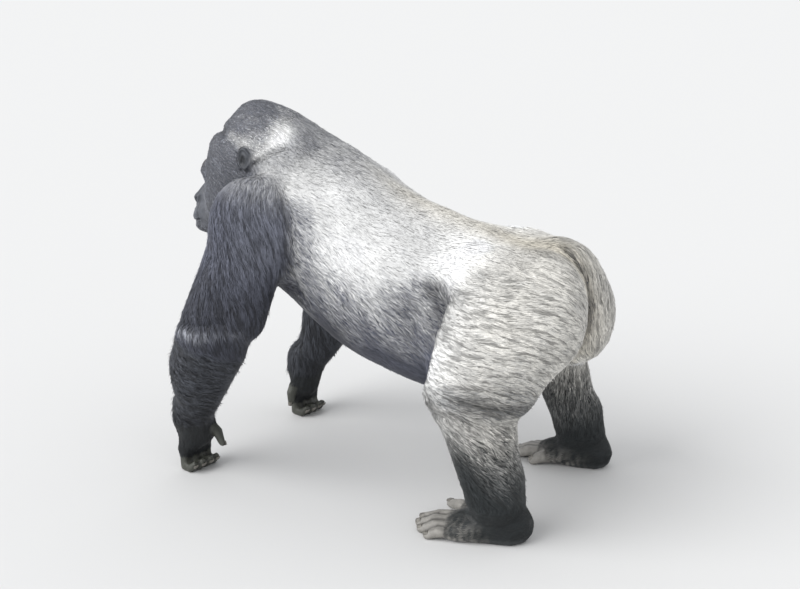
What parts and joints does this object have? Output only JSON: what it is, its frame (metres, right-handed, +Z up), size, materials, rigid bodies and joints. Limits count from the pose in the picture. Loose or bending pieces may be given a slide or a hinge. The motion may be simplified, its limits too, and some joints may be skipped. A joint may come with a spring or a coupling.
{
  "type": "gorilla model",
  "caption": "Life-size still model of an adult male silverback gorilla walking on all fours, on its soles and the backs of its fingers.",
  "frame": {"origin": "on the floor under the middle of the animal's bounding box", "axes": "+Z up; the gorilla faces -Y, and its left side is +X"},
  "size_m": [0.8478, 1.3684, 1.1606],
  "materials": {
    "head_coat": "short dark slate hair with a silver patch behind the ear, smooth bare grey face",
    "silver_coat": "short silver-grey hair with darker flecks, near black on the belly and lower legs",
    "dark_coat": "rough dark slate hair",
    "bare_skin": "bare creased skin, satin",
    "toe_skin": "bare creased pale grey skin, satin",
    "nail": "satin horn",
    "eye": "wet gloss"
  },
  "bodies": {
    "root": {"head": "head_coat", "neck": "silver_coat", "trunk": "silver_coat", "eye_left": "eye", "ear_left": "bare_skin", "upper_arm_left": "dark_coat", "forearm_left": "dark_coat", "hand_left": "dark_coat", "thumb_left": "bare_skin", "nail_thumb_left": "nail", "index_finger_left": "bare_skin", "nail_index_finger_left": "nail", "middle_finger_left": "bare_skin", "nail_middle_finger_left": "nail", "ring_finger_left": "bare_skin", "nail_ring_finger_left": "nail", "little_finger_left": "bare_skin", "nail_little_finger_left": "nail", "thigh_left": "silver_coat", "shank_left": "silver_coat", "foot_left": "dark_coat", "great_toe_left": "toe_skin", "nail_great_toe_left": "nail", "second_toe_left": "toe_skin", "nail_second_toe_left": "nail", "third_toe_left": "toe_skin", "nail_third_toe_left": "nail", "fourth_toe_left": "toe_skin", "nail_fourth_toe_left": "nail", "little_toe_left": "toe_skin", "nail_little_toe_left": "nail", "eye_right": "eye", "ear_right": "bare_skin", "upper_arm_right": "dark_coat", "forearm_right": "dark_coat", "hand_right": "dark_coat", "thumb_right": "bare_skin", "nail_thumb_right": "nail", "index_finger_right": "bare_skin", "nail_index_finger_right": "nail", "middle_finger_right": "bare_skin", "nail_middle_finger_right": "nail", "ring_finger_right": "bare_skin", "nail_ring_finger_right": "nail", "little_finger_right": "bare_skin", "nail_little_finger_right": "nail", "thigh_right": "silver_coat", "shank_right": "silver_coat", "foot_right": "dark_coat", "great_toe_right": "toe_skin", "nail_great_toe_right": "nail", "second_toe_right": "toe_skin", "nail_second_toe_right": "nail", "third_toe_right": "toe_skin", "nail_third_toe_right": "nail", "fourth_toe_right": "toe_skin", "nail_fourth_toe_right": "nail", "little_toe_right": "toe_skin", "nail_little_toe_right": "nail"}
  },
  "joints": []
}
